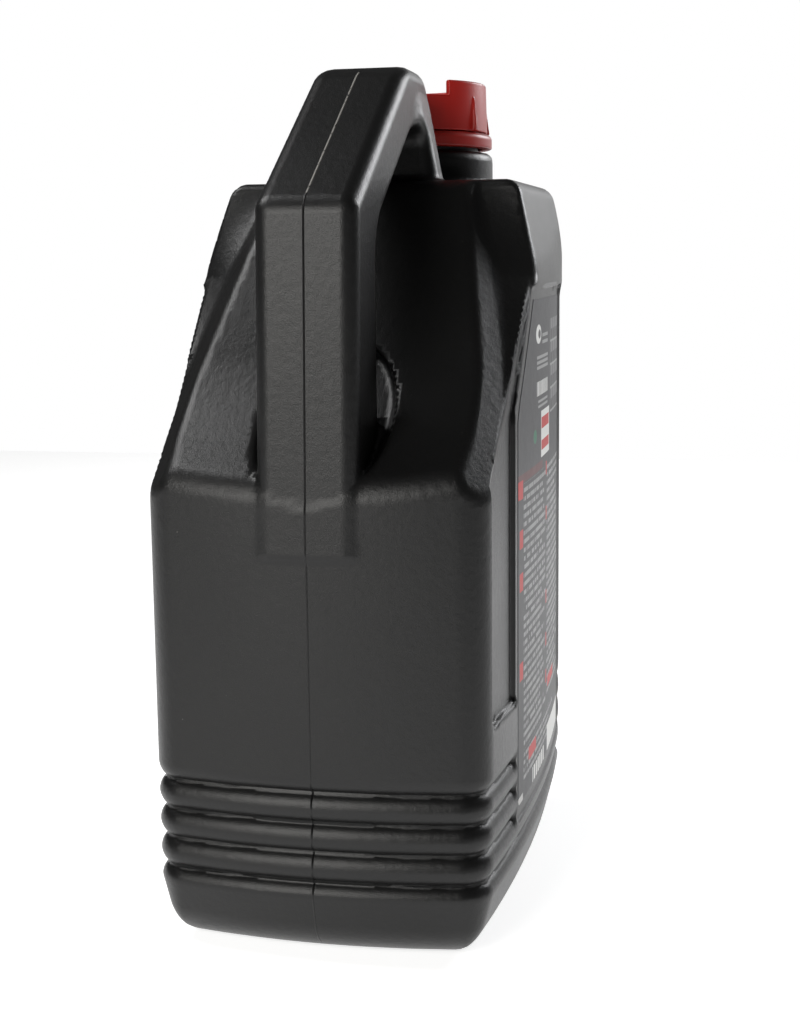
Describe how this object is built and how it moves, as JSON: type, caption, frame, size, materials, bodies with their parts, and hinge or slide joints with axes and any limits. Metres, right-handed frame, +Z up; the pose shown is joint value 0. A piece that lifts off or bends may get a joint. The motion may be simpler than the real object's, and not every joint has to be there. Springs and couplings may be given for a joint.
{
  "type": "motor oil bottle",
  "caption": "Upright black plastic oil bottle with a loop handle, ribbed foot, label panels and a red screw cap.",
  "frame": {"origin": "centre of the foot, on the surface that the bottle stands on", "axes": "+Z up, +X along the long side towards the neck, +Y across the narrow side; the mould's parting plane is Y = 0"},
  "size_m": [0.184, 0.118, 0.285],
  "materials": {
    "black_plastic": "black moulded polyethylene with a fine grain",
    "red_plastic": "satin red moulded polypropylene",
    "label_film": "printed film, satin",
    "liner_foam": "white foamed sheet",
    "foil": "bright foil",
    "oil": "clear amber liquid"
  },
  "bodies": {
    "bottle": {"bottle_body": "black_plastic", "tamper_band": "red_plastic", "front_label": "label_film", "back_label": "label_film", "foil_seal": "foil", "motor_oil": "oil"},
    "liner": {"cap_liner": "liner_foam"},
    "cap": {"cap": "red_plastic"}
  },
  "joints": [
    {"name": "cap_lift", "type": "slide", "parent": "bottle", "child": "liner", "axis": [0, 0, 1], "range_m": [0, 0.006]},
    {"name": "cap_unscrew", "type": "hinge", "parent": "liner", "child": "cap", "pos_m": [0.0561, 0, 0.2668], "axis": [0, 0, 1], "range_deg": [0, 540]}
  ],
  "couplings": [
    {"joint": "cap_unscrew", "follows": "cap_lift", "rad_per_m": 1570}
  ]
}
